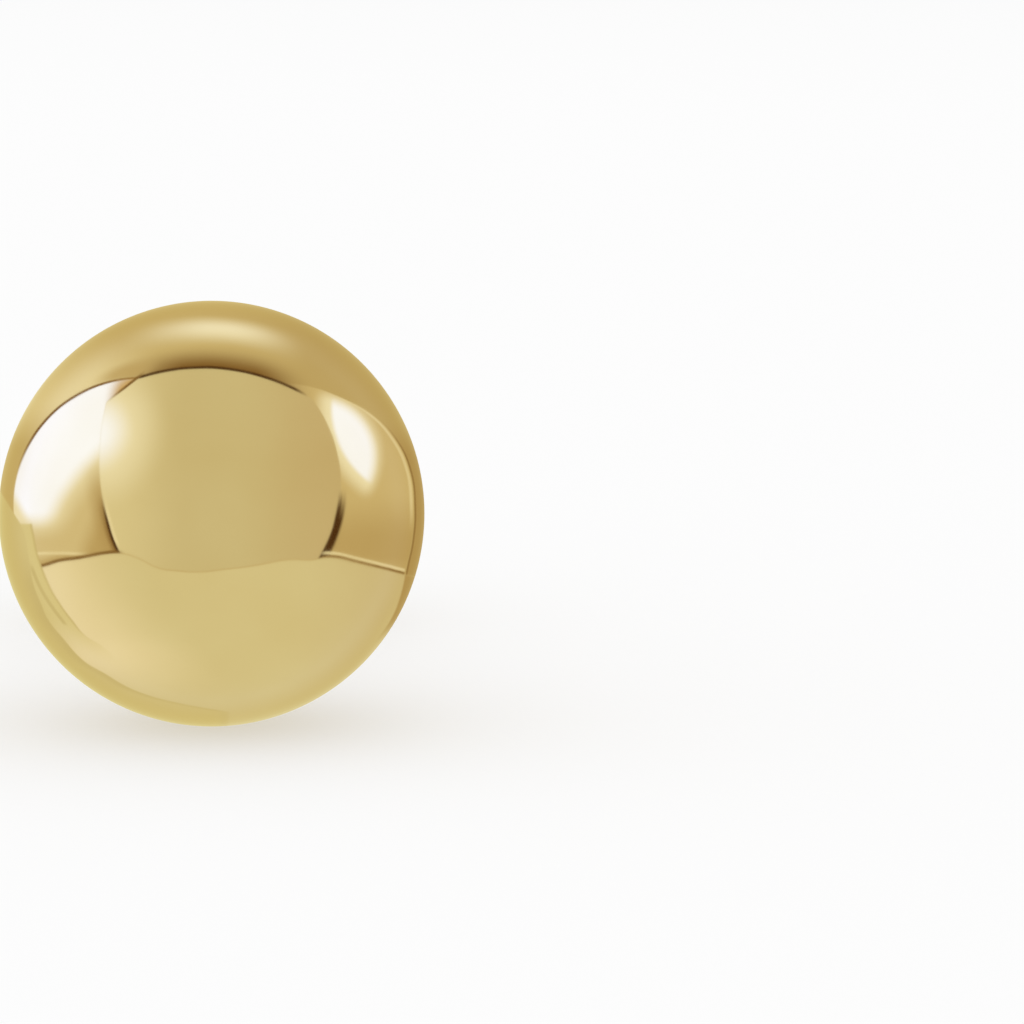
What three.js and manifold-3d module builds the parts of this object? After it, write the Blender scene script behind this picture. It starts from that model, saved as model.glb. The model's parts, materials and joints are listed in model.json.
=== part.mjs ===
// A ball stud earring at rest on a table: a hollow gold ball with its post soldered to the back,
// and the ear nut pushed on to the notch of the post. Millimetres, +Z up.
//
// Both pieces are first modelled along the post: the middle of the ball is at zero and the post
// runs along +Y. The whole stud is then tilted until the ball and the nut both touch the table.
import * as THREE from 'three';
import { mergeVertices } from 'three/addons/utils/BufferGeometryUtils.js';
import Module from 'manifold-3d';

const wasm = await Module();
wasm.setup();

// The ball
const ballDiameter = 8;
const ballWall = 0.2;
const ventDiameter = 0.5;
const ventToFillet = 0.45; // metal left between the vent and the solder

// The post
const postDiameter = 0.8;
const postLength = 10; // from the back of the ball to the tip
const solderFillet = 0.5; // radius of the solder between ball and post
const tipRounding = 0.3;
const notchToTip = 2.2; // from the middle of the notch
const notchWidth = 0.7;
const notchDepth = 0.08;

// The ear nut, one strip rolled at both ends
const stripThickness = 0.3;
const plateWidth = 4.4; // the strip at its widest, round the hole
const plateReach = 3; // from the hole to where the wide part would end if it ran on
const armWidth = 3.8;
const armCorner = 0.9; // rounding of the strip's two ends
const outerRoll = 1.15; // radius of the middle of the strip in the first half turn of a scroll
const innerRoll = 0.95; // and in the rest of it
const innerRollTurn = 150; // degrees
const nutClearance = 0.08; // between the post and all of the nut

// How finely round forms are cut
const ballSegments = 56;
const hollowSegments = 40;
const holeSegments = 24;
const filletSteps = 6;
const tipSteps = 5;
const notchSteps = 6;
const stripSteps = 104;
const stripRows = 4;

const ballRadius = ballDiameter / 2;
const hollowRadius = ballRadius - ballWall;
const postRadius = postDiameter / 2;
const tipY = ballRadius + postLength;
const notchY = tipY - notchToTip;

// Geometry helpers

function toSolid(geometry) {
  const bare = geometry.clone();
  bare.deleteAttribute('normal');
  bare.deleteAttribute('uv');
  const merged = mergeVertices(bare, 1e-5);
  return new wasm.Manifold(new wasm.Mesh({
    numProp: 3,
    vertProperties: new Float32Array(merged.attributes.position.array),
    triVerts: new Uint32Array(merged.index.array),
  }));
}

function toGeometry(solid) {
  const mesh = solid.getMesh();
  const geometry = new THREE.BufferGeometry();
  geometry.setAttribute('position', new THREE.BufferAttribute(mesh.vertProperties, mesh.numProp));
  geometry.setIndex(new THREE.BufferAttribute(mesh.triVerts, 1));
  return geometry;
}

// A round bar along the post's direction
function bar(radius, fromY, toY, x, z) {
  const geometry = new THREE.CylinderGeometry(radius, radius, toY - fromY, holeSegments);
  geometry.translate(x, (fromY + toY) / 2, z);
  return geometry;
}

// Points of an arc in the lathe's plane: x is the distance from the post's axis, y runs along it.
// The first point is left out where another form already ends there.
function arc(centreX, centreY, radius, fromAngle, toAngle, steps, withFirst) {
  const points = [];
  for (let step = withFirst ? 0 : 1; step <= steps; step += 1) {
    const angle = fromAngle + (toAngle - fromAngle) * step / steps;
    const x = centreX + radius * Math.cos(angle);
    const y = centreY + radius * Math.sin(angle);
    points.push(new THREE.Vector2(x, y));
  }
  return points;
}

// The ball and the post

// The fillet's circle touches the ball from outside and the post from the side.
const filletX = postRadius + solderFillet;
const filletY = Math.sqrt((ballRadius + solderFillet) ** 2 - filletX ** 2);
const filletAngle = Math.atan2(filletY, filletX); // where it leaves the ball, seen from the ball's middle
const solderEdge = ballRadius * Math.cos(filletAngle); // how far from the axis the solder reaches

function postAndBallProfile() {
  const points = [new THREE.Vector2(0, -ballRadius)];
  const ballSteps = Math.round(ballSegments / 2);
  points.push(...arc(0, 0, ballRadius, -Math.PI / 2, filletAngle, ballSteps, false));
  points.push(...arc(filletX, filletY, solderFillet, filletAngle - Math.PI, -Math.PI, filletSteps, false));
  for (let step = 0; step <= notchSteps; step += 1) {
    const share = step / notchSteps;
    const depth = notchDepth * Math.sin(Math.PI * share) ** 2;
    const y = notchY + notchWidth * (share - 0.5);
    points.push(new THREE.Vector2(postRadius - depth, y));
  }
  const flatTip = postRadius - tipRounding;
  points.push(...arc(flatTip, tipY - tipRounding, tipRounding, 0, Math.PI / 2, tipSteps, true));
  const last = points[points.length - 1];
  last.y = tipY;
  points.push(new THREE.Vector2(0, tipY));
  return points;
}

function makeBallAndPost() {
  const outside = toSolid(new THREE.LatheGeometry(postAndBallProfile(), ballSegments));
  const hollow = toSolid(new THREE.SphereGeometry(hollowRadius, hollowSegments, hollowSegments / 2));
  const ventRadius = ventDiameter / 2;
  const ventZ = solderEdge + ventToFillet + ventRadius;
  const vent = toSolid(bar(ventRadius, 0, ballRadius * 2, 0, ventZ));
  return toGeometry(outside.subtract(hollow).subtract(vent));
}

// The ear nut

const plateHalf = postRadius + nutClearance + stripThickness / 2 + innerRoll; // flat, from the hole
const outerLength = Math.PI * outerRoll;
const innerLength = THREE.MathUtils.degToRad(innerRollTurn) * innerRoll;
const stripHalf = plateHalf + outerLength + innerLength;
const gripHeight = 2 * outerRoll - innerRoll; // from the plate to where the scrolls meet the post
const nutY = notchY - gripHeight; // the middle of the plate's thickness

// Where the middle of the strip is, a given distance along it from the hole, and the direction
// square to it there. The other arm is this one mirrored.
function onStrip(distance) {
  if (distance <= plateHalf) {
    return { x: distance, y: 0, outX: 0, outY: 1 };
  }
  if (distance <= plateHalf + outerLength) {
    const angle = (distance - plateHalf) / outerRoll;
    return {
      x: plateHalf + outerRoll * Math.sin(angle),
      y: outerRoll - outerRoll * Math.cos(angle),
      outX: -Math.sin(angle),
      outY: Math.cos(angle),
    };
  }
  const angle = (distance - plateHalf - outerLength) / innerRoll;
  return {
    x: plateHalf - innerRoll * Math.sin(angle),
    y: 2 * outerRoll - innerRoll + innerRoll * Math.cos(angle),
    outX: Math.sin(angle),
    outY: -Math.cos(angle),
  };
}

// Half the width to which the flat strip is cut, a given distance from the hole
function halfWidth(distance) {
  const round = Math.sqrt(Math.max(0, 1 - (distance / plateReach) ** 2));
  const widest = Math.max(armWidth / 2, plateWidth / 2 * round);
  const toEnd = stripHalf - distance;
  if (toEnd >= armCorner) {
    return widest;
  }
  return widest - armCorner + Math.sqrt(armCorner ** 2 - (armCorner - toEnd) ** 2);
}

// A flat strip, cut to its outline and rolled: x runs along it, y is its thickness, z its width.
function makeEarNut() {
  const strip = new THREE.BoxGeometry(2 * stripHalf, stripThickness, 1, stripSteps, 1, stripRows);
  const place = strip.attributes.position;
  for (let index = 0; index < place.count; index += 1) {
    const along = place.getX(index);
    const side = Math.sign(along);
    const distance = Math.min(Math.abs(along), stripHalf);
    const spot = onStrip(distance);
    const inward = place.getY(index);
    const x = side * (spot.x + spot.outX * inward);
    const y = nutY + spot.y + spot.outY * inward;
    const z = place.getZ(index) * 2 * halfWidth(distance);
    place.setXYZ(index, x, y, z);
  }
  const hole = bar(postRadius + nutClearance, nutY - stripThickness, nutY + stripThickness, 0, 0);
  return toGeometry(toSolid(strip).subtract(toSolid(hole)));
}

// How the stud lies

// An edge of the nut, this far along the post and this far below it, meets the table at the tilt
// where the ball's middle is one ball radius above the table.
function tiltAtContact(along, below) {
  return Math.asin(ballRadius / Math.hypot(along, below)) - Math.atan2(below, along);
}

const scrollTop = nutY + 2 * outerRoll + stripThickness / 2;
const plateBack = nutY + stripThickness / 2;
const restTilt = Math.min(
  tiltAtContact(scrollTop, armWidth / 2),
  tiltAtContact(plateBack, plateWidth / 2),
);

// Materials

const polishedGold = new THREE.MeshStandardMaterial({ color: 0xd8be72, roughness: 0.06, metalness: 1 });
const sheetGold = new THREE.MeshStandardMaterial({ color: 0xd2b76c, roughness: 0.18, metalness: 1 });

// Assembly

const stud = new THREE.Group();

const ballAndPost = new THREE.Mesh(makeBallAndPost(), polishedGold);
ballAndPost.name = 'ball_and_post';
stud.add(ballAndPost);

const earNut = new THREE.Mesh(makeEarNut(), sheetGold);
earNut.name = 'ear_nut';
stud.add(earNut);

// The post points back and down. The origin is on the table, under the middle of the stud's box.
stud.rotation.x = -restTilt;
stud.updateMatrixWorld(true);
const extent = new THREE.Box3().setFromObject(stud, true);
const middle = extent.getCenter(new THREE.Vector3());
stud.position.set(-middle.x, -middle.y, -extent.min.z);

export default stud;
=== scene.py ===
# %% [markdown]
# A gold ball stud on a white table
#
# The earring is a thin hollow ball of yellow gold with a straight post soldered to its back, and a
# butterfly nut pushed on to the post. A polished ball has hardly a colour of its own: what we see
# is the studio round it. So this lesson has two halves. The first makes two clean metal pieces,
# and the second builds the studio that they mirror.
#
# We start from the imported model. It fixes where everything is, in metres, and nothing moves it.

# %% Load the frame
import json
import math

import bpy
from mathutils import Matrix, Vector


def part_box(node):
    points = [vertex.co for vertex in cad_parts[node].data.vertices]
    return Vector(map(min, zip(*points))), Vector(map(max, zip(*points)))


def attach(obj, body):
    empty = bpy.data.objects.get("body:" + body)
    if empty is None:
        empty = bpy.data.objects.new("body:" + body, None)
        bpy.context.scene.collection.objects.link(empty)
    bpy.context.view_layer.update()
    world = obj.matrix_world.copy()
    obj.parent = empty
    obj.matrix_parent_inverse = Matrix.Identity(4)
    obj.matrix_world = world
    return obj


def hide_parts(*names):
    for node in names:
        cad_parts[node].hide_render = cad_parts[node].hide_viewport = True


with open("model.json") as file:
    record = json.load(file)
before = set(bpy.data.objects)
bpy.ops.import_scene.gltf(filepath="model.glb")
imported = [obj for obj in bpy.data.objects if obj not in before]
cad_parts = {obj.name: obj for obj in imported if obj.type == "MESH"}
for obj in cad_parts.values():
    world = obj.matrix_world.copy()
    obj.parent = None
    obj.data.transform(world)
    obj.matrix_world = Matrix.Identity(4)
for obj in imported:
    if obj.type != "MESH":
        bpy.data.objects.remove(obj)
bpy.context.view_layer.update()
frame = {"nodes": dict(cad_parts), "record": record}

MM = 0.001

# %% [markdown]
# A bench to work at
#
# The stud lies tilted, on its ball and its nut. Modelling a turned thing at a slant is awkward, so
# each piece is made at a bench first: the middle of the ball at zero, the post standing straight up
# along Z. One matrix then lays the finished piece where the frame has it. The matrix comes from the
# frame: the mount on the nut looks along the post, and the foremost point of the ball gives its middle.

# %% The bench and the way back from it
ball_low, ball_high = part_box("ball_and_post")
BALL_RADIUS = (ball_high.x - ball_low.x) / 2
FRONT = Vector(frame["record"]["mounts"][0]["axis"]).normalized()
BACK = -FRONT
RIGHT = Vector((1, 0, 0))
UP = RIGHT.cross(BACK)
foremost = max((v.co for v in frame["nodes"]["ball_and_post"].data.vertices), key=FRONT.dot)
BALL_MIDDLE = foremost + BACK * BALL_RADIUS

BENCH = Matrix((-RIGHT, UP, BACK)).transposed().to_4x4()
BENCH.translation = BALL_MIDDLE
print("ball radius", round(BALL_RADIUS / MM, 3), "mm, middle", [round(x / MM, 3) for x in BALL_MIDDLE])
print("the post falls by", round(math.degrees(math.asin(FRONT.z)), 2), "degrees")

# %% [markdown]
# Operators act on whatever is selected, so every piece of work starts from nothing selected. A new
# modifier is live until it is applied. We apply each one at once, as the next step needs its mesh.

# %% Helpers for taking up a piece and working on it
def clear_selection():
    if bpy.context.object and bpy.context.object.mode != "OBJECT":
        bpy.ops.object.mode_set(mode="OBJECT")
    bpy.ops.object.select_all(action="DESELECT")


def take_up(piece):
    """The piece alone is selected and active."""
    clear_selection()
    piece.select_set(True)
    bpy.context.view_layer.objects.active = piece


def apply_modifier(piece, kind, **settings):
    take_up(piece)
    modifier = piece.modifiers.new(kind.lower(), kind)
    for name, value in settings.items():
        setattr(modifier, name, value)
    bpy.ops.object.modifier_apply(modifier=modifier.name)


def tell(piece):
    triangles = sum(len(face.vertices) - 2 for face in piece.data.polygons)
    size = [round(side / MM, 2) for side in piece.dimensions]
    print(piece.name, "has", triangles, "triangles and measures", size, "mm")


# %% [markdown]
# The ball and its post
#
# On the real earring two pressed half shells are joined to a ball, the post is soldered on, and the
# ball is buffed until no seam is left. It could be spun from a drawn profile, but a sphere that the
# program makes has exact normals, and in a mirror every wrong normal shows. So we begin with a fine
# sphere, open it at the back, and draw the metal out of the opening ring by ring: first up the solder,
# then along the wire, through the notch and round the tip.
#
# In section the solder is a hollow arc, a little less than a quarter of a circle, that touches the
# ball at one end and the post at the other.

# %% Sizes of the ball and the post
BALL_SEGMENTS = 192
BALL_RINGS = 96
BALL_WALL = 0.2 * MM
POST_RADIUS = 0.4 * MM
POST_LENGTH = 10 * MM
SOLDER_FILLET = 0.5 * MM
TIP_ROUNDING = 0.3 * MM
NOTCH_TO_TIP = 2.2 * MM
NOTCH_WIDTH = 0.7 * MM
NOTCH_DEPTH = 0.08 * MM

TIP = BALL_RADIUS + POST_LENGTH
NOTCH = TIP - NOTCH_TO_TIP
fillet_out = POST_RADIUS + SOLDER_FILLET
SOLDER_END = math.sqrt((BALL_RADIUS + SOLDER_FILLET) ** 2 - fillet_out**2)
fillet_angle = math.atan2(SOLDER_END, fillet_out)
SOLDER_EDGE = BALL_RADIUS * math.cos(fillet_angle)
SOLDER_START = BALL_RADIUS * math.sin(fillet_angle)
print("solder from", round(SOLDER_START / MM, 3), "to", round(SOLDER_END / MM, 3), "mm above the middle")

# %% [markdown]
# The profile of the post is a list of rings, each a radius and a height. Arcs give the solder and the
# tip, and a wave gives the notch, a shallow groove that the nut springs into.

# %% The rings from the ball to the tip
FILLET_STEPS = 12
NOTCH_STEPS = 12
TIP_STEPS = 8


def post_rings():
    """(radius, height) of each ring that the post is drawn through, from the solder's edge."""
    rings = []
    for step in range(FILLET_STEPS + 1):
        angle = fillet_angle - math.pi - fillet_angle * step / FILLET_STEPS
        out = fillet_out + SOLDER_FILLET * math.cos(angle)
        rings.append((out, SOLDER_END + SOLDER_FILLET * math.sin(angle)))
    for step in range(NOTCH_STEPS + 1):
        share = step / NOTCH_STEPS
        depth = NOTCH_DEPTH * math.sin(math.pi * share) ** 2
        rings.append((POST_RADIUS - depth, NOTCH + NOTCH_WIDTH * (share - 0.5)))
    for step in range(TIP_STEPS + 1):
        angle = math.pi / 2 * step / TIP_STEPS
        out = POST_RADIUS - TIP_ROUNDING + TIP_ROUNDING * math.cos(angle)
        rings.append((out, TIP - TIP_ROUNDING + TIP_ROUNDING * math.sin(angle)))
    return rings


print("rings:", len(post_rings()), "from radius", round(post_rings()[0][0] / MM, 3), "mm")

# %% [markdown]
# The sphere's poles lie on Z, so its rings run round the post, and the opening is a clean ring too. The
# faces under the solder are chosen in code, by where their middles are, and deleted.

# %% A sphere, opened at the back
def edit(kind="VERT"):
    """Into edit mode with nothing selected."""
    bpy.ops.object.mode_set(mode="EDIT")
    bpy.ops.mesh.select_mode(type=kind)
    bpy.ops.mesh.select_all(action="DESELECT")


def leave_edit():
    bpy.ops.object.mode_set(mode="OBJECT")


clear_selection()
bpy.ops.mesh.primitive_uv_sphere_add(segments=BALL_SEGMENTS, ring_count=BALL_RINGS, radius=BALL_RADIUS)
stud = bpy.context.object
stud.name = "polished_ball_with_post"

edit("FACE")
leave_edit()
for face in stud.data.polygons:
    face.select = face.center.z > 0 and math.hypot(face.center.x, face.center.y) < SOLDER_EDGE
bpy.ops.object.mode_set(mode="EDIT")
bpy.ops.mesh.delete(type="FACE")
leave_edit()

opening_height = max(vertex.co.z for vertex in stud.data.vertices)
opening_radius = math.sqrt(BALL_RADIUS**2 - opening_height**2)
print("opening of radius", round(opening_radius / MM, 3), "mm for the solder")

# %% [markdown]
# Extruding an edge ring in place, moving it up and resizing it adds one band of faces. Done for every
# ring of the profile, it draws the solder and the wire out of the ball. The last ring is merged to a
# point, which closes the tip.

# %% Draw the post out of the opening
def draw_ring(radius_now, radius_next, rise):
    """One more ring on the open end."""
    bpy.ops.mesh.extrude_edges_move(TRANSFORM_OT_translate={"value": (0, 0, rise)})
    factor = radius_next / radius_now
    bpy.ops.transform.resize(value=(factor, factor, 1), center_override=(0, 0, 0))


edit("EDGE")
bpy.ops.mesh.select_non_manifold()
radius_now = opening_radius
height_now = opening_height
for radius_next, height_next in post_rings():
    draw_ring(radius_now, radius_next, height_next - height_now)
    radius_now = radius_next
    height_now = height_next
bpy.ops.mesh.extrude_edges_move(TRANSFORM_OT_translate={"value": (0, 0, 0)})
bpy.ops.mesh.merge(type="CENTER")
leave_edit()
tell(stud)

# %% [markdown]
# The real ball is a shell of about 0.2 mm, and it has a vent: a small drilled hole beside the post
# that lets hot air out while the post is soldered on. Both are cut out of the solid ball, as a
# driller would, with a smaller ball and a rod.

# %% Hollow the ball and drill the vent
HOLLOW_SEGMENTS = 96
HOLLOW_RINGS = 48
VENT_SEGMENTS = 48
VENT_RADIUS = 0.25 * MM
VENT_TO_FILLET = 0.45 * MM


def cut_with(piece, cutter):
    """Cuts the cutter's shape out of the piece and throws the cutter away."""
    apply_modifier(piece, "BOOLEAN", operation="DIFFERENCE", solver="EXACT", object=cutter)
    bpy.data.objects.remove(cutter)


clear_selection()
hollow_radius = BALL_RADIUS - BALL_WALL
bpy.ops.mesh.primitive_uv_sphere_add(segments=HOLLOW_SEGMENTS, ring_count=HOLLOW_RINGS, radius=hollow_radius)
cut_with(stud, bpy.context.object)

clear_selection()
vent_out = SOLDER_EDGE + VENT_TO_FILLET + VENT_RADIUS
vent_place = (0, vent_out, BALL_RADIUS)
bpy.ops.mesh.primitive_cylinder_add(
    vertices=VENT_SEGMENTS, radius=VENT_RADIUS, depth=2 * BALL_RADIUS, location=vent_place
)
cut_with(stud, bpy.context.object)
tell(stud)

# %% [markdown]
# A face is shaded flat until it is told otherwise. Smooth shading by angle rounds the light over the
# ball and the wire, and leaves the rim of the vent as the sharp edge that a drill makes.

# %% Smooth the ball and the post
SHARP_FROM = math.radians(35)

take_up(stud)
bpy.ops.object.shade_smooth_by_angle(angle=SHARP_FROM)
print(stud.name, "is smooth up to", round(math.degrees(SHARP_FROM)), "degrees")

# %% [markdown]
# The ear nut
#
# A butterfly nut is one strip of sheet, cut to shape, drilled, and rolled up at both ends with round
# pliers. We do the same: cut a flat blank, roll it one small bend at a time, and only then give it
# its thickness. Rolling first and thickening after keeps the wall even all along the scroll.
#
# The two scrolls meet the post in its notch, and that fixes how far up the post the plate sits.

# %% Sizes of the ear nut
STRIP_THICKNESS = 0.3 * MM
PLATE_WIDTH = 4.4 * MM
PLATE_REACH = 3 * MM
ARM_WIDTH = 3.8 * MM
ARM_CORNER = 0.9 * MM
OUTER_ROLL = 1.15 * MM
INNER_ROLL = 0.95 * MM
INNER_ROLL_TURN = math.radians(150)
NUT_CLEARANCE = 0.08 * MM

HOLE_RADIUS = POST_RADIUS + NUT_CLEARANCE
PLATE_HALF = HOLE_RADIUS + STRIP_THICKNESS / 2 + INNER_ROLL
OUTER_LENGTH = math.pi * OUTER_ROLL
INNER_LENGTH = INNER_ROLL_TURN * INNER_ROLL
STRIP_HALF = PLATE_HALF + OUTER_LENGTH + INNER_LENGTH
NUT_HEIGHT = NOTCH - (2 * OUTER_ROLL - INNER_ROLL)
print("strip", round(2 * STRIP_HALF / MM, 2), "mm long, plate", round(NUT_HEIGHT / MM, 2), "mm up the post")

# %% [markdown]
# Two functions say all there is to know of the blank: how wide it is cut at any distance from its
# hole, and where along it the pliers bend it, and by how much.

# %% The outline of the blank and its bend lines
OUTER_BENDS = 30
INNER_BENDS = 24


def half_width(distance):
    """Half the blank's width at this distance from the hole: wide plate, straight arms, round ends."""
    bulge = math.sqrt(max(0, 1 - (distance / PLATE_REACH) ** 2))
    widest = max(ARM_WIDTH / 2, PLATE_WIDTH / 2 * bulge)
    to_end = STRIP_HALF - distance
    if to_end >= ARM_CORNER:
        return widest
    return widest - ARM_CORNER + math.sqrt(ARM_CORNER**2 - (ARM_CORNER - to_end) ** 2)


def bend_lines():
    """(distance from the hole, angle to bend there) along one arm."""
    lines = []
    for bend in range(OUTER_BENDS):
        lines.append((PLATE_HALF + OUTER_LENGTH * (bend + 0.5) / OUTER_BENDS, math.pi / OUTER_BENDS))
    for bend in range(INNER_BENDS):
        along = PLATE_HALF + OUTER_LENGTH + INNER_LENGTH * (bend + 0.5) / INNER_BENDS
        lines.append((along, INNER_ROLL_TURN / INNER_BENDS))
    return lines


print("each arm:", len(bend_lines()), "bends, its end", round(2 * half_width(STRIP_HALF) / MM, 2), "mm wide")

# %% [markdown]
# The blank is a plane that is cut across at every bend line and a few times more on the flat and at
# the rounded ends. Bisect does the cutting: it draws a line of vertices through all that is selected.

# %% Cut the flat blank
PLATE_CUTS = (0.2, 0.4, 0.6, 0.8, 1)
END_CUTS = (0.02, 0.06, 0.12)
LENGTHWISE_CUTS = (-0.5, 0, 0.5)

clear_selection()
bpy.ops.mesh.primitive_plane_add(size=2, location=(0, 0, NUT_HEIGHT))
nut = bpy.context.object
nut.name = "rolled_ear_nut"
nut.scale = (STRIP_HALF, PLATE_WIDTH / 2, 1)
bpy.ops.object.transform_apply(location=True, rotation=True, scale=True)

cuts = [along for along, _ in bend_lines()]
cuts += [PLATE_HALF * share for share in PLATE_CUTS]
cuts += [STRIP_HALF - ARM_CORNER * share for share in END_CUTS]
edit("FACE")
for along in sorted(cuts):
    for side in (-1, 1):
        bpy.ops.mesh.select_all(action="SELECT")
        bpy.ops.mesh.bisect(plane_co=(side * along, 0, 0), plane_no=(1, 0, 0))
for share in LENGTHWISE_CUTS:
    bpy.ops.mesh.select_all(action="SELECT")
    bpy.ops.mesh.bisect(plane_co=(0, share * PLATE_WIDTH / 2, 0), plane_no=(0, 1, 0))
leave_edit()
tell(nut)

# %% [markdown]
# All rows of vertices are still as wide as the plane. Each row across the strip is selected by its
# distance from the hole, and drawn in to the outline.

# %% Draw the rows in to the outline
def select_vertices(piece, numbers):
    """Selects the vertices with these numbers, and stays in edit mode."""
    edit()
    leave_edit()
    for number in numbers:
        piece.data.vertices[number].select = True
    bpy.ops.object.mode_set(mode="EDIT")


rows = {}
for vertex in nut.data.vertices:
    rows.setdefault(round(vertex.co.x / MM, 4), []).append(vertex.index)
for row, numbers in rows.items():
    factor = half_width(min(abs(row) * MM, STRIP_HALF)) / (PLATE_WIDTH / 2)
    select_vertices(nut, numbers)
    bpy.ops.transform.resize(value=(1, factor, 1), center_override=(0, 0, 0))
    leave_edit()
print(len(rows), "rows drawn in, the narrowest at the two ends")

# %% [markdown]
# Now the pliers. At each bend line everything further out turns by a few degrees about that line,
# and so do all the later lines. We keep each vertex's distance along the flat strip, because
# once the arm curls over, its place no longer tells how far along it is.

# %% Roll the two arms
JUST_PAST = 1e-7
flat_place = [vertex.co.x for vertex in nut.data.vertices]


def roll_arm(side):
    turned = 0.0
    bend_x, bend_z = 0.0, NUT_HEIGHT
    last_along = 0.0
    for along, angle in bend_lines():
        step = along - last_along
        bend_x += side * step * math.cos(turned)
        bend_z += step * math.sin(turned)
        select_vertices(nut, [i for i, flat in enumerate(flat_place) if side * flat > along + JUST_PAST])
        bpy.ops.transform.rotate(value=side * angle, orient_axis="Y", center_override=(bend_x, 0, bend_z))
        leave_edit()
        turned += angle
        last_along = along
    print("arm", side, "rolled through", round(math.degrees(turned)), "degrees")


roll_arm(1)
roll_arm(-1)
tell(nut)

# %% [markdown]
# The sheet gets its thickness, half to each side of the surface that was rolled. Then comes the hole,
# and a shallow cone at its front, because a nut has to find the post by feel.

# %% Thicken and drill
HOLE_SEGMENTS = 64
COUNTERSINK = 0.12 * MM

apply_modifier(nut, "SOLIDIFY", thickness=STRIP_THICKNESS, offset=0, use_even_offset=True)

clear_selection()
bpy.ops.mesh.primitive_cylinder_add(
    vertices=HOLE_SEGMENTS, radius=HOLE_RADIUS, depth=4 * STRIP_THICKNESS, location=(0, 0, NUT_HEIGHT)
)
cut_with(nut, bpy.context.object)

clear_selection()
plate_front = NUT_HEIGHT - STRIP_THICKNESS / 2
bpy.ops.mesh.primitive_cone_add(
    vertices=HOLE_SEGMENTS,
    radius1=HOLE_RADIUS + COUNTERSINK,
    radius2=HOLE_RADIUS,
    depth=COUNTERSINK,
    location=(0, 0, plate_front + COUNTERSINK / 2),
)
cut_with(nut, bpy.context.object)
tell(nut)

# %% [markdown]
# Nuts are tumbled by the hundred until no edge is sharp. A narrow bevel rounds every cut edge, and
# each catches a line of light. Weighted normals then keep the broad faces flat beside it.

# %% Round the edges
EDGE_ROUNDING = 0.06 * MM
EDGE_STEPS = 3
EDGE_FROM = math.radians(50)

apply_modifier(
    nut, "BEVEL", width=EDGE_ROUNDING, segments=EDGE_STEPS, limit_method="ANGLE", angle_limit=EDGE_FROM
)
bpy.ops.object.shade_smooth_by_angle(angle=SHARP_FROM)
apply_modifier(nut, "WEIGHTED_NORMAL", keep_sharp=True)
tell(nut)

# %% [markdown]
# Gold
#
# All of it is one alloy, so one function makes every finish. Metal has no diffuse colour: the base
# colour is what it does to the light it mirrors. The finishes differ in how rough they are and in
# which way their fine marks run. Marks, and the slow waves under them, are bump of less than ten
# micrometres, or twenty on the solder, because on a mirror even that bends the picture.
#
# First come short helpers, since a node tree built in code is mostly adding and linking.

# %% A kit for shader nodes
def join(tree, socket, value):
    """A link where value is a socket, and a plain value where it is a number or a colour."""
    if isinstance(value, bpy.types.NodeSocket):
        tree.links.new(value, socket)
    else:
        socket.default_value = value


def add_node(tree, kind, inputs=None, **settings):
    node = tree.nodes.new(kind)
    for name, value in settings.items():
        setattr(node, name, value)
    for name, value in (inputs or {}).items():
        join(tree, node.inputs[name], value)
    return node


# %% [markdown]
# Patterns are read on the bench's axes, so that Z runs along the wire and its drawing lines can follow
# it. The Mapping node does the same turn as the bench, the other way round.

# %% Where a pattern is read, and its noise
def bench_coordinates(tree):
    """Object coordinates turned so that Z runs along the post."""
    place = add_node(tree, "ShaderNodeTexCoord")
    turned = add_node(tree, "ShaderNodeMapping", vector_type="TEXTURE")
    turned.inputs["Location"].default_value = BENCH.translation
    turned.inputs["Rotation"].default_value = BENCH.to_euler()
    join(tree, turned.inputs["Vector"], place.outputs["Object"])
    return turned.outputs["Vector"]


def noise(tree, where, grains, stretch=(1, 1, 1), detail=2.0):
    """Soft noise with so many grains to a metre, drawn out along an axis where stretch is small."""
    drawn = add_node(tree, "ShaderNodeMapping", {"Vector": where, "Scale": stretch})
    grain = add_node(tree, "ShaderNodeTexNoise", {"Scale": grains, "Detail": detail})
    join(tree, grain.inputs["Vector"], drawn.outputs["Vector"])
    return grain.outputs["Fac"]


def spread(tree, value, low, high):
    """Noise lies mostly between 0.3 and 0.7. This spreads it over low to high."""
    ramp = add_node(tree, "ShaderNodeMapRange", {"Value": value, "From Min": 0.3, "From Max": 0.7})
    ramp.inputs["To Min"].default_value = low
    ramp.inputs["To Max"].default_value = high
    return ramp.outputs["Result"]


# %% [markdown]
# One finish is built from two noises. The coarse one, the cloud, shifts the tint a little and makes the
# waves. The fine one makes the marks, and the roughness goes with them.

# %% How a gold finish is made
CLOUD_GRAINS = 600


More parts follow.
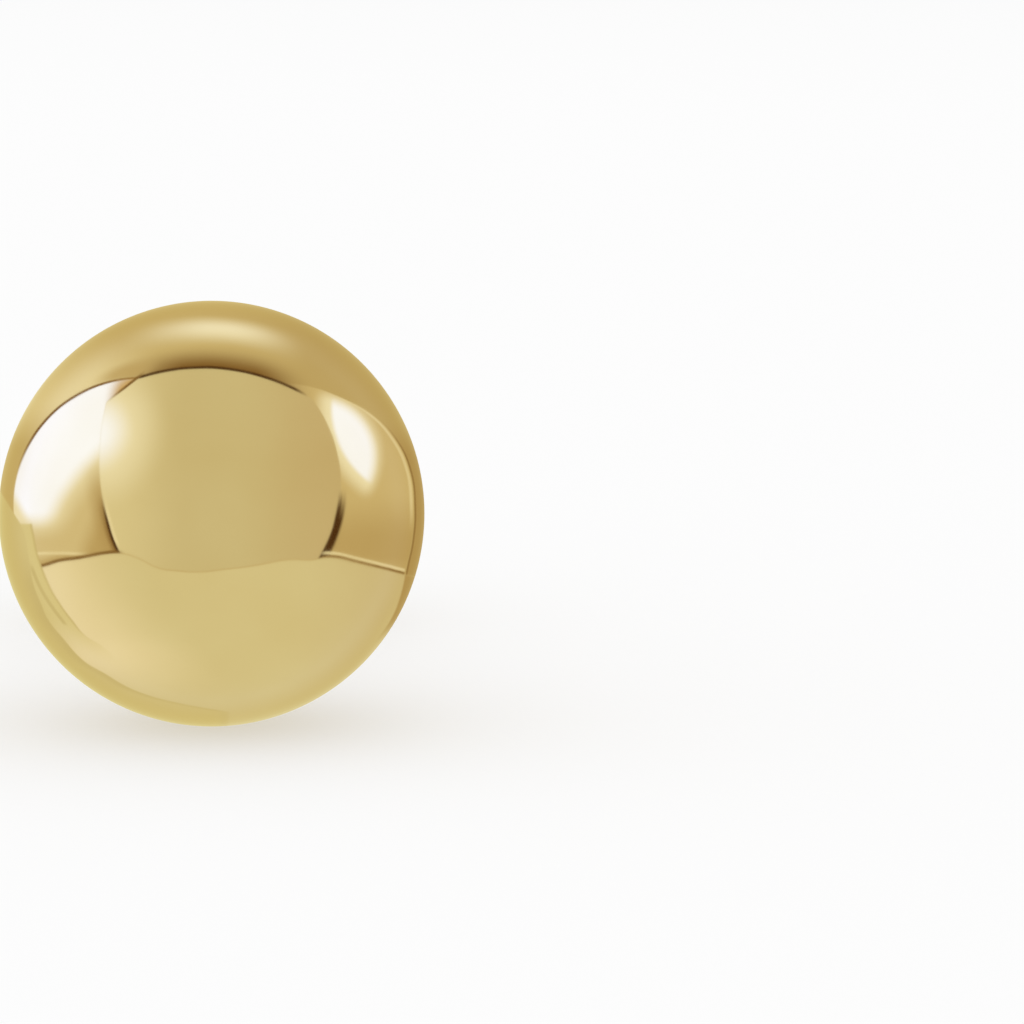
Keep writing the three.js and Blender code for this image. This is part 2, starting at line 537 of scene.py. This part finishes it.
def gold_finish(name, colours, roughness, wave_height, grains, stretch, mark_height):
    material = bpy.data.materials.new(name)
    material.use_nodes = True
    tree = material.node_tree
    tree.nodes.clear()
    bench = bench_coordinates(tree)
    cloud = noise(tree, bench, CLOUD_GRAINS)
    marks = noise(tree, bench, grains, stretch, detail=4.0)
    tint = add_node(tree, "ShaderNodeMix", data_type="RGBA")
    join(tree, tint.inputs[0], spread(tree, cloud, 0.0, 1.0))
    join(tree, tint.inputs[6], colours[0])
    join(tree, tint.inputs[7], colours[1])
    waves = add_node(tree, "ShaderNodeBump", {"Height": cloud, "Distance": wave_height, "Strength": 1.0})
    relief = add_node(tree, "ShaderNodeBump", {"Height": marks, "Distance": mark_height, "Strength": 1.0})
    join(tree, relief.inputs["Normal"], waves.outputs["Normal"])
    shader = add_node(tree, "ShaderNodeBsdfPrincipled", {"Metallic": 1.0})
    join(tree, shader.inputs["Base Color"], tint.outputs[2])
    join(tree, shader.inputs["Roughness"], spread(tree, marks, *roughness))
    join(tree, shader.inputs["Normal"], relief.outputs["Normal"])
    surface = add_node(tree, "ShaderNodeOutputMaterial")
    join(tree, surface.inputs["Surface"], shader.outputs["BSDF"])
    print(name, "with", len(tree.nodes), "nodes")
    return material


# %% [markdown]
# The ball is buffed, and mirrors almost clearly. The wire was drawn through a die, which leaves fine
# lines along it, so its noise is drawn out along Z.

# %% Buffed ball and drawn wire
GOLD = (0.70, 0.56, 0.235, 1)
GOLD_DEEP = (0.68, 0.535, 0.215, 1)
EVEN = (1, 1, 1)
ALONG_THE_WIRE = (1, 1, 0.03)

buffed = gold_finish(
    "buffed_gold",
    colours=(GOLD, GOLD_DEEP),
    roughness=(0.045, 0.075),
    wave_height=0.004 * MM,
    grains=1500,
    stretch=EVEN,
    mark_height=0.0002 * MM,
)
drawn = gold_finish(
    "drawn_gold_wire",
    colours=(GOLD, GOLD_DEEP),
    roughness=(0.10, 0.2),
    wave_height=0.002 * MM,
    grains=9000,
    stretch=ALONG_THE_WIRE,
    mark_height=0.003 * MM,
)

# %% [markdown]
# Solder is a little paler than the gold it joins, and lumpier than what is polished. The nut is bright
# from the tumbler, with a soft grain that never shows a clear picture.

# %% Solder and tumbled sheet
SOLDER_GOLD = (0.74, 0.62, 0.31, 1)
SOLDER_DEEP = (0.62, 0.49, 0.21, 1)

soldered = gold_finish(
    "gold_solder",
    colours=(SOLDER_GOLD, SOLDER_DEEP),
    roughness=(0.16, 0.3),
    wave_height=0.02 * MM,
    grains=5000,
    stretch=EVEN,
    mark_height=0.01 * MM,
)
tumbled = gold_finish(
    "tumbled_gold_sheet",
    colours=(GOLD, GOLD_DEEP),
    roughness=(0.11, 0.2),
    wave_height=0.008 * MM,
    grains=4000,
    stretch=EVEN,
    mark_height=0.002 * MM,
)

# %% [markdown]
# Ball, solder and wire are one mesh, so its faces choose their finish by their place on the bench: all
# is buffed but what lies close to the axis and above the solder's start.

# %% Put the finishes on
SOLDER_SLOT = 1
WIRE_SLOT = 2

for material in (buffed, soldered, drawn):
    stud.data.materials.append(material)
for face in stud.data.polygons:
    near_axis = math.hypot(face.center.x, face.center.y) < SOLDER_EDGE
    if near_axis and face.center.z > SOLDER_START - BALL_WALL / 4:
        face.material_index = SOLDER_SLOT if face.center.z < SOLDER_END else WIRE_SLOT
nut.data.materials.append(tumbled)
for index, material in enumerate(stud.data.materials):
    print(material.name, "on", sum(face.material_index == index for face in stud.data.polygons), "faces")

# %% [markdown]
# Both pieces now leave the bench. The matrix is applied, so that each object sits at the origin with
# its place in its mesh, as the nodes of the frame do. Each piece stands in for one node.

# %% Lay the pieces in their place
def lay_down(piece):
    """From the bench to its place in the frame, with the place in the mesh."""
    take_up(piece)
    piece.matrix_world = BENCH
    bpy.ops.object.transform_apply(location=True, rotation=True, scale=True)


for piece, node, slot in (
    (stud, "ball_and_post", "polished_gold"),
    (nut, "ear_nut", "sheet_gold"),
):
    lay_down(piece)
    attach(piece, "root")
    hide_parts(node)

# %% [markdown]
# Camera
#
# The photograph looks straight at the front of the ball, along the post, from far away: the outline
# is a true circle. So the camera stands on the line of the post, 40 cm off, with a long lens. It is
# turned a little aside so that the ball falls where it does in the picture.

# %% Camera on the line of the post
PICTURE = 1024
BALL_AT_X = 211.6
BALL_AT_Y = 512.9
BALL_PIXELS = 212.9
CAMERA_DISTANCE = 400 * MM
CLIP_FROM = 10 * MM
SENSOR = 36.0

lens_data = bpy.data.cameras.new("camera")
camera = bpy.data.objects.new("camera", lens_data)
bpy.context.scene.collection.objects.link(camera)
bpy.context.scene.camera = camera
lens_data.sensor_width = SENSOR
reach = math.sqrt(CAMERA_DISTANCE**2 - BALL_RADIUS**2)
lens_data.lens = BALL_PIXELS / PICTURE * SENSOR * reach / BALL_RADIUS
lens_data.clip_start = CLIP_FROM
camera.location = BALL_MIDDLE + FRONT * CAMERA_DISTANCE

per_pixel = SENSOR / PICTURE / lens_data.lens
aside = (PICTURE / 2 - BALL_AT_X) * per_pixel
above = (BALL_AT_Y - PICTURE / 2) * per_pixel
look = (BACK + RIGHT * aside + UP * above).normalized()
camera.rotation_mode = "QUATERNION"
camera.rotation_quaternion = look.to_track_quat("-Z", "Y")
print("lens", round(lens_data.lens), "mm, aside", round(math.degrees(aside), 2), "degrees")

# %% [markdown]
# Table
#
# The picture's ground is pure white. The table stands for a sheet of opal glass lit from below, but
# its light is painted: a painted glow gives out about half of its brightness and it scatters the other
# half, so what stands on it still throws a soft shadow. A painted pool of light makes a round bright
# patch in its middle. Past that the painted glow and the colour fall off to a pale grey, and bright
# edges show against it from the side.

# %% Table colour: a painted glow and a painted pool of light
# The table's painted glow, and the painted pool of light that fades out between these distances.
TABLE_PAINTED_GLOW = 0.47
TABLE_SCATTER = 0.51
PAINTED_LIGHT_WITHIN = 70 * MM
PAINTED_DIM_BEYOND = 190 * MM
PAINTED_DIM_SHARE = 0.86

painted_glow_table = bpy.data.materials.new("table_with_painted_glow")
painted_glow_table.use_nodes = True
glass_tree = painted_glow_table.node_tree
glass = glass_tree.nodes["Principled BSDF"]
glass.inputs["Roughness"].default_value = 1.0
glass.inputs["Specular IOR Level"].default_value = 0.0
glass.inputs["Emission Strength"].default_value = 1.0
on_glass = add_node(glass_tree, "ShaderNodeTexCoord").outputs["Object"]
from_middle = add_node(glass_tree, "ShaderNodeVectorMath", operation="LENGTH")
join(glass_tree, from_middle.inputs[0], on_glass)
# Painted light: the glow and the base colour are brightest in a middle patch and fall off to a pale grey.
for level, socket in ((TABLE_SCATTER, "Base Color"), (TABLE_PAINTED_GLOW, "Emission Color")):
    painted_fall_off = add_node(glass_tree, "ShaderNodeMapRange", interpolation_type="SMOOTHSTEP")
    join(glass_tree, painted_fall_off.inputs["Value"], from_middle.outputs["Value"])
    join(glass_tree, painted_fall_off.inputs["From Min"], PAINTED_LIGHT_WITHIN)
    join(glass_tree, painted_fall_off.inputs["From Max"], PAINTED_DIM_BEYOND)
    join(glass_tree, painted_fall_off.inputs["To Min"], level)
    join(glass_tree, painted_fall_off.inputs["To Max"], level * PAINTED_DIM_SHARE)
    join(glass_tree, glass.inputs[socket], painted_fall_off.outputs["Result"])
print("glass is lit to", round(PAINTED_LIGHT_WITHIN / MM), "mm from the middle, dim from", round(PAINTED_DIM_BEYOND / MM), "mm")

# %% [markdown]
# An object can be hidden from one kind of ray at a time. The mirrors don't see this table: the studio
# below holds the smaller white sheet that shows in the ball.

# %% A table with a painted glow
TABLE_SIZE = 3.0

clear_selection()
bpy.ops.mesh.primitive_plane_add(size=TABLE_SIZE)
table = bpy.context.object
table.name = "table"
table.data.materials.append(painted_glow_table)
table.visible_glossy = False
print("table", TABLE_SIZE, "m wide, seen in mirrors:", table.visible_glossy)

# %% [markdown]
# Studio
#
# The room is painted the way it looks in a mirror ball. For a direction r and the direction towards
# the camera, the ball's normal is halfway between them. The normal's share to the right and its
# share upwards are then the place on the ball where r is seen, from -1 to 1 each way. So soft
# boxes, cards and their edges go straight to where they show in the picture.
#
# The directions are fixed in the room: seen from another side, the ball mirrors other parts of it.

# %% Nodes that find the place on the mirror ball
studio = bpy.data.worlds.new("studio")
bpy.context.scene.world = studio
studio.use_nodes = True
sky = studio.node_tree
sky.nodes.clear()


def maths(operation, a, b=0.0, c=0.0):
    node = add_node(sky, "ShaderNodeMath", operation=operation)
    for socket, value in zip(node.inputs, (a, b, c)):
        join(sky, socket, value)
    return node.outputs[0]


def vector_maths(operation, a, b=(0, 0, 0)):
    node = add_node(sky, "ShaderNodeVectorMath", operation=operation)
    join(sky, node.inputs[0], a)
    join(sky, node.inputs[1], b)
    return node


def so_far(what):
    print(what + ":", len(sky.nodes), "nodes so far")


direction = add_node(sky, "ShaderNodeTexCoord").outputs["Generated"]
halfway = vector_maths("ADD", direction, FRONT).outputs[0]
ball_normal = vector_maths("NORMALIZE", halfway).outputs[0]
across = vector_maths("DOT_PRODUCT", ball_normal, RIGHT).outputs["Value"]
height = vector_maths("DOT_PRODUCT", ball_normal, UP).outputs["Value"]
so_far("place on the mirror ball found")

# %% [markdown]
# Everything in the room is a few kinds of shape, and most are circles: the node gives the distance
# from one. A step between two distances makes a mask with a soft or a sharp edge, and a colour is
# painted through the mask over what is already there.

# %% Steps, circles and paint
def rising(value, low, high):
    """0 below low, 1 above high, and a smooth step between. It falls instead if low is above high."""
    if low > high:
        return maths("SUBTRACT", 1.0, rising(value, high, low))
    step = add_node(sky, "ShaderNodeMapRange", interpolation_type="SMOOTHSTEP")
    join(sky, step.inputs["Value"], value)
    join(sky, step.inputs["From Min"], low)
    join(sky, step.inputs["From Max"], high)
    return step.outputs["Result"]


def outside(middle, radius=0.0):
    """How far a place is outside a circle. Inside it is negative."""
    right = maths("SUBTRACT", across, middle[0])
    up = maths("SUBTRACT", height, middle[1])
    square = maths("MULTIPLY_ADD", right, right, maths("MULTIPLY", up, up))
    return maths("SUBTRACT", maths("SQRT", square), radius)


def inside(distance, soft=0.003):
    """1 where the distance is negative, with an edge that is soft for so much to either side."""
    return rising(distance, soft, -soft)


def both(*masks):
    """Where all of the masks are. A number among them thins the mask."""
    shared = masks[0]
    for mask in masks[1:]:
        shared = maths("MULTIPLY", shared, mask)
    return shared


def paint(under, mask, colour, blend="MIX"):
    """The colour over what is under it, where the mask lets it."""
    node = add_node(sky, "ShaderNodeMix", data_type="RGBA", blend_type=blend)
    join(sky, node.inputs[0], mask)
    join(sky, node.inputs[6], under)
    join(sky, node.inputs[7], (*colour, 1))
    return node.outputs[2]


# %% [markdown]
# The colours' brightness is what stands in the room: the gold then takes its share of it. Most cards
# are cream and the gaps between them brown, because the metal's own reflections warm the whole room.
# The lamps are bluish: gold takes most of the blue away, and what is left is white.

# %% Colours of the room
CREAM = (0.83, 0.75, 0.62)
CREAM_LIT = (1.12, 1.13, 1.26)
CREAM_DIM = (0.74, 0.65, 0.52)
GLOW = (1.22, 1.30, 1.72)
LAMP = (1.40, 1.70, 3.75)
PALE = (0.93, 0.88, 0.86)
PEACH = (0.86, 0.66, 0.46)
SAND = (0.87, 0.79, 0.69)
TAN = (0.73, 0.62, 0.48)
BROWN = (0.64, 0.52, 0.38)
SHADE = (0.30, 0.18, 0.08)
DEEP_SHADE = (0.10, 0.045, 0.018)
PANEL = (0.85, 0.83, 0.81)
PANEL_LEFT = (0.99, 0.99, 1.03)
PANEL_RIGHT = (0.80, 0.73, 0.68)
SHEET = (0.94, 0.945, 0.96)
SHEET_LEFT = (1.15, 1.16, 1.38)
SHEET_RIGHT = (0.88, 0.85, 0.84)
OLIVE = (0.92, 0.91, 0.82)
OLIVE_PALE = (0.96, 0.96, 0.87)
OLIVE_DARK = (0.78, 0.74, 0.60)
print("the lamp is", round(LAMP[2] / LAMP[0], 2), "times as bright in blue as in red")

# %% [markdown]
# The top of the ball mirrors the ceiling behind all the cards: cream, lighter towards the lamp on the
# left, with one long soft lamp that shows as a curved highlight.

# %% The room above
left_arc = outside((-0.333, 0.039), 0.595)
panel_top = outside((-0.044, -0.281), 0.963)

room = paint((*CREAM, 1), rising(across, 0.0, 0.5), CREAM_DIM)
left_light = both(rising(left_arc, 0.26, 0.0), rising(across, -0.2, -0.6), rising(height, 0.3, 0.55))
room = paint(room, left_light, CREAM_LIT)
top_lamp = both(rising(across, -0.44, 0.05), rising(across, 0.46, 0.08))
top_lamp = both(top_lamp, rising(panel_top, 0.10, 0.185), rising(panel_top, 0.255, 0.19))
room = paint(room, top_lamp, GLOW)
so_far("ceiling painted")

# %% [markdown]
# Some edges are neither circles nor straight. They are drawn with a curve through a few points: a
# Float Curve node reads one coordinate and gives the other.

# %% An edge drawn through points, and a thin line along an edge
def drawn_edge(value, points):
    """A curve drawn through points from -1 to 1: gives their second number where value is the first."""
    node = add_node(sky, "ShaderNodeFloatCurve")
    join(sky, node.inputs["Value"], maths("MULTIPLY_ADD", value, 0.5, 0.5))
    curve = node.mapping.curves[0]
    places = sorted(((1 + first) / 2, (1 + second) / 2) for first, second in points)
    curve.points[0].location = places[0]
    curve.points[1].location = places[-1]
    for place in places[1:-1]:
        curve.points.new(*place)
    node.mapping.extend = "HORIZONTAL"
    node.mapping.update()
    return maths("MULTIPLY_ADD", node.outputs[0], 2.0, -1.0)


def thin_line(distance, at, width):
    """A thin soft line where the distance is near a number."""
    off = maths("ABSOLUTE", maths("SUBTRACT", distance, at))
    return rising(off, width, width / 4)


right_edge = drawn_edge(
    height,
    (
        (-1, 0.5), (-0.60, 0.77), (-0.49, 0.845), (-0.38, 0.887), (-0.245, 0.916), (-0.128, 0.940),
        (0.029, 0.949), (0.199, 0.929), (0.342, 0.864), (0.459, 0.759), (0.538, 0.616), (0.59, 0.472),
        (0.64, 0.2), (1, -0.5),
    ),
)
past_right_edge = maths("SUBTRACT", across, right_edge)
so_far("right edge drawn")

# %% [markdown]
# On the right stands a card with a lamp in front of it. Two circles give the lamp its shape, a leaf
# that is sharp on one side and soft on the other, and a wider glow lies under it.

# %% The right side: a card and its lamp
lamp_side = outside((1.002, 0.498), 0.447)
lamp_back = outside((0.490, 0.263), 0.290)

right_card = both(inside(past_right_edge, 0.004), rising(across, 0.3, 0.4), rising(height, -0.3, -0.2))
room = paint(room, right_card, SAND)
room = paint(room, both(right_card, rising(height, 0.12, -0.13)), TAN)
right_glow = both(right_card, rising(lamp_side, 0.09, 0.0), rising(lamp_back, 0.045, -0.03))
room = paint(room, right_glow, GLOW)
right_lamp = both(right_card, rising(lamp_side, 0.006, -0.022), rising(lamp_back, 0.012, -0.05))
room = paint(room, right_lamp, LAMP)
so_far("right card and lamp painted")

# %% [markdown]
# The card's outer edge is rolled, so a light line and a dark one run beside each other there.

# %% The rolled edge of the right card
low_right = both(rising(height, 0.45, 0.25), rising(across, 0.6, 0.7))
room = paint(room, both(rising(past_right_edge, 0.0, 0.01), low_right), BROWN)
rolled_edge = both(thin_line(past_right_edge, -0.012, 0.011), rising(across, 0.55, 0.65))
room = paint(room, both(rolled_edge, rising(height, -0.10, 0.08), 0.7), CREAM_LIT)
room = paint(room, both(thin_line(past_right_edge, 0.006, 0.007), low_right, 0.6), SHADE)
so_far("rolled edge painted")

# %% [markdown]
# The big soft box on the left is the brightest thing in the room. A straight slope cuts off its lower
# left, so one more shape is needed: the distance past a straight line.

# %% The left side: a big soft box over a card
def beyond(point, facing):
    """How far a place is beyond the line through a point, on the side that facing points to."""
    length = math.hypot(*facing)
    right = maths("MULTIPLY", maths("SUBTRACT", across, point[0]), facing[0] / length)
    up = maths("MULTIPLY", maths("SUBTRACT", height, point[1]), facing[1] / length)
    return maths("ADD", right, up)


lamp_low = outside((-0.025, -0.319), 0.806)
lamp_left = beyond((-0.90, 0.05), (-0.86, -0.51))

left_card = both(inside(left_arc, 0.004), rising(across, -0.2, -0.3), rising(height, -0.25, -0.2))
room = paint(room, left_card, PALE)
room = paint(room, both(left_card, rising(lamp_low, -0.16, -0.27)), TAN)
room = paint(room, both(left_card, rising(lamp_low, -0.15, 0.01), rising(height, -0.14, 0.0)), GLOW)
left_lamp = both(left_card, rising(lamp_low, -0.065, 0.03), rising(height, -0.08, 0.02))
room = paint(room, both(left_lamp, rising(lamp_left, 0.03, -0.02)), LAMP)
room = paint(room, both(thin_line(left_arc, 0.002, 0.009), rising(height, 0.15, 0.4)), SHADE)
so_far("left box painted")

# %% [markdown]
# The round panel in the middle stands where the camera does, and is most likely its screen. Dark gaps
# beside it and over it draw its outline: they are what makes the ball look round and polished. One
# soft brown cloud over its left corner is an oval.

# %% The gap over the panel
def oval(middle, long_way, half_length, half_breadth):
    """0 in the middle of an oval, 1 on its edge, and more outside."""
    along = maths("DIVIDE", beyond(middle, long_way), half_length)
    beside = maths("DIVIDE", beyond(middle, (-long_way[1], long_way[0])), half_breadth)
    return maths("SQRT", maths("MULTIPLY_ADD", along, along, maths("MULTIPLY", beside, beside)))


panel_right = outside((-0.066, 0.134), 0.671)
panel_left = outside((0.55, 0.25), 1.075)
panel_corner = beyond((-0.35, 0.632), (-0.613, 0.79))

over = both(rising(across, -0.50, -0.10), rising(across, 0.52, 0.20))
room = paint(room, both(over, rising(panel_top, 0.115, 0.0)), SHADE)
cloud = oval((-0.40, 0.66), (1, 0.35), 0.16, 0.05)
room = paint(room, both(rising(cloud, 1.2, 0.3), rising(left_arc, -0.005, 0.02), 0.8), TAN)
corner_gap = both(rising(panel_corner, 0.09, 0.0), rising(across, -0.51, -0.42))
room = paint(room, both(corner_gap, inside(left_arc, 0.01)), PEACH)
so_far("upper gap painted")

# %% [markdown]
# The gaps at the sides open downwards. Each is a mask that starts at the panel's edge and fades out
# upwards, and the one on the right is narrow, dark and nearly sharp.

# %% The gaps beside the panel
left_gap = both(rising(panel_left, 0.09, 0.0), rising(height, 0.26, 0.0), rising(across, -0.4, -0.45))
room = paint(room, left_gap, BROWN)
left_dark = both(rising(panel_left, 0.035, 0.0), rising(height, 0.12, -0.12), rising(across, -0.4, -0.43))
room = paint(room, left_dark, SHADE)
right_dark = both(rising(panel_right, 0.036, 0.018), rising(height, 0.13, -0.05), rising(across, 0.45, 0.5))
room = paint(room, right_dark, DEEP_SHADE)
so_far("side gaps painted")

# %% [markdown]
# The panel covers the inner ends of all that was painted so far. It is brighter on the left, where the
# soft box shines on it, and has its brightest spot near the upper left corner.

# %% The panel
panel = both(inside(panel_top), inside(panel_right), inside(panel_left), inside(panel_corner, 0.004))
room = paint(room, panel, PANEL)
room = paint(room, both(panel, rising(across, -0.10, -0.50)), PANEL_LEFT)
room = paint(room, both(panel, rising(across, 0.10, 0.55)), PANEL_RIGHT)
panel_glow = oval((-0.54, 0.38), (0.35, 1), 0.22, 0.19)
room = paint(room, both(panel, rising(panel_glow, 1.9, 0.5)), GLOW)
room = paint(room, both(panel, rising(panel_glow, 1.0, 0.1)), LAMP)
so_far("panel painted")

# %% [markdown]
# Where two things meet in a mirror there is a thin dark line, the narrow slit between them. The
# panel gets one on each side, and a light one inside its lower left edge, where the card is thick.

# %% The lines round the panel
top_line = both(thin_line(panel_top, 0.003, 0.010), rising(across, -0.36, -0.32), rising(across, 0.46, 0.38))
room = paint(room, top_line, DEEP_SHADE)
right_line = both(thin_line(panel_right, -0.001, 0.014), rising(height, 0.12, 0.0), rising(across, 0.45, 0.5))
room = paint(room, right_line, DEEP_SHADE)
left_line = both(thin_line(panel_left, 0.001, 0.010), rising(height, 0.10, -0.05))
room = paint(room, both(left_line, rising(across, -0.40, -0.43)), DEEP_SHADE)
left_shine = both(thin_line(panel_left, -0.011, 0.010), rising(height, 0.14, 0.0))
room = paint(room, both(left_shine, rising(height, -0.17, -0.12)), CREAM_LIT)
corner_line = both(thin_line(panel_corner, 0.002, 0.009), rising(across, -0.5, -0.4))
room = paint(room, both(corner_line, rising(across, -0.3, -0.36)), SHADE)
so_far("lines round the panel painted")

# %% [markdown]
# Below the horizon lies a white sheet. Its far edge is a little wavy, and its left edge is turned up in
# a narrow strip. Both edges are drawn through points.

# %% The two edges of the sheet
far_edge = drawn_edge(
    across,
    (
        (-1, -0.30), (-0.797, -0.248), (-0.72, -0.225), (-0.60, -0.205), (-0.50, -0.186), (-0.43, -0.183),
        (-0.35, -0.205), (-0.25, -0.253), (-0.15, -0.268), (-0.062, -0.271), (0.081, -0.258),
        (0.211, -0.242), (0.368, -0.216), (0.47, -0.218), (0.538, -0.206), (0.707, -0.240), (0.903, -0.287),
        (1, -0.31),
    ),
)
strip_edge = drawn_edge(
    height,
    (
        (-1, -0.2), (-0.63, -0.50), (-0.565, -0.60), (-0.50, -0.655), (-0.41, -0.72), (-0.35, -0.755),
        (-0.25, -0.797), (-0.17, -0.822), (-0.10, -0.835), (-0.045, -0.845), (1, -0.86),
    ),
)
past_strip = maths("SUBTRACT", strip_edge, across)
above_sheet = maths("SUBTRACT", height, far_edge)
so_far("sheet's edges drawn")

# %% [markdown]
# The sheet takes light from the soft box, so it is brightest on the left. A fold under the left card
# lies in shade, with a light line along its top.

# %% The sheet and the fold behind it
fold = both(rising(above_sheet, 0.055, 0.0), rising(height, -0.186, -0.192), rising(across, -0.45, -0.60))
room = paint(room, fold, TAN)
fold_line = both(thin_line(height, -0.186, 0.010), rising(across, -0.56, -0.66), rising(across, -0.84, -0.81))
room = paint(room, fold_line, CREAM_LIT)
sheet = inside(above_sheet)
room = paint(room, sheet, SHEET)
on_left = both(rising(past_strip, -0.50, 0.02), rising(height, -0.92, -0.62))
room = paint(room, both(sheet, on_left), SHEET_LEFT)
room = paint(room, both(sheet, rising(across, 0.30, 0.85)), SHEET_RIGHT)
sheet_end = both(rising(past_right_edge, -0.006, 0.006), rising(height, -0.62, -0.48))
room = paint(room, both(sheet, sheet_end), BROWN)
so_far("sheet painted")

# %% [markdown]
# Along its far edge the sheet meets the cards on both sides, with a dark line under each, and a light
# one over the right one. In the middle, under the panel, the line is faint.

# %% The lines along the sheet's far edge
near_left = rising(across, -0.40, -0.46)
near_right = both(rising(across, 0.50, 0.54), rising(past_right_edge, 0.0, -0.01))
room = paint(room, both(thin_line(above_sheet, 0.004, 0.012), near_left), SHADE)
room = paint(room, both(thin_line(above_sheet, 0.004, 0.009), near_right), SHADE)
room = paint(room, both(thin_line(above_sheet, 0.020, 0.010), near_right), CREAM_LIT)
room = paint(room, both(thin_line(above_sheet, 0.0, 0.006), rising(across, -0.46, -0.40), 0.5), TAN)
so_far("lines along the sheet painted")

# %% [markdown]
# The strip that is turned up on the left is pale olive, with two thin darker lines along it.

# %% The strip at the sheet's left edge
below_top = rising(height, -0.043, -0.050)
strip = both(rising(past_strip, -0.003, 0.003), below_top)
room = paint(room, both(strip, rising(height, -0.71, -0.46)), OLIVE_PALE)
strip_line = both(thin_line(past_strip, 0.001, 0.009), below_top, rising(height, -0.62, -0.50))
room = paint(room, both(strip_line, 0.6), OLIVE_DARK)
short_line = both(thin_line(past_strip, 0.045, 0.014), rising(height, -0.22, -0.27))
room = paint(room, both(short_line, rising(height, -0.525, -0.51), 0.7), OLIVE_DARK)
so_far("strip painted")

# %% [markdown]
# Past the strip shows the olive table that the sheet lies on, a crescent that follows the ball's edge.

# %% The olive table past the sheet
table_edge = drawn_edge(
    height,
    (
        (-0.93, 0.08), (-0.911, -0.037), (-0.885, -0.17), (-0.85, -0.30), (-0.81, -0.40), (-0.75, -0.50),
        (-0.69, -0.60), (-0.58, -0.70), (-0.49, -0.77), (-0.42, -0.80), (-0.33, -0.835), (-0.18, -0.86),
        (-0.07, -0.885), (0.0, -0.925), (0.08, -0.975), (0.12, -1),
    ),
)
past_table = maths("SUBTRACT", table_edge, across)
olive = both(rising(past_table, -0.004, 0.004), rising(across, 0.12, 0.0))
room = paint(room, olive, OLIVE)
inner_rim = both(olive, rising(past_table, 0.06, 0.0), rising(height, -0.15, -0.35))
room = paint(room, both(inner_rim, 0.5), OLIVE_DARK)
so_far("olive table painted")

# %% [markdown]
# At a grazing angle metal turns nearly white, even gold. In the picture the rim stays gold, because
# what stands behind the earring is warm and dim. The whole room gets that tint towards the back.

# %% The far side of the room
FAR_TINT = (0.88, 0.80, 0.45)

room = paint(room, rising(outside((0, 0)), 0.86, 1.0), FAR_TINT, blend="MULTIPLY")
so_far("far side tinted")

# %% [markdown]
# Mirrors see the painted room. The table is lit by an even white dome instead, so that the
# bluish lamps don't tint it, and the camera sees the same white behind the table's end.

# %% Hang the studio
mirrored = add_node(sky, "ShaderNodeBackground", {"Color": room, "Strength": 1.0})
dome = add_node(sky, "ShaderNodeBackground", {"Color": (1, 1, 1, 1), "Strength": 1.0})
ray = add_node(sky, "ShaderNodeLightPath")
seen = add_node(sky, "ShaderNodeMixShader")
join(sky, seen.inputs[0], ray.outputs["Is Glossy Ray"])
join(sky, seen.inputs[1], dome.outputs[0])
join(sky, seen.inputs[2], mirrored.outputs[0])
world_output = add_node(sky, "ShaderNodeOutputWorld")
join(sky, world_output.inputs["Surface"], seen.outputs[0])
bpy.context.scene.view_settings.view_transform = "Standard"
so_far("studio hung")

# %% [markdown]
# The end
#
# The last cell leaves nothing selected.

# %% Nothing selected at the end
clear_selection()
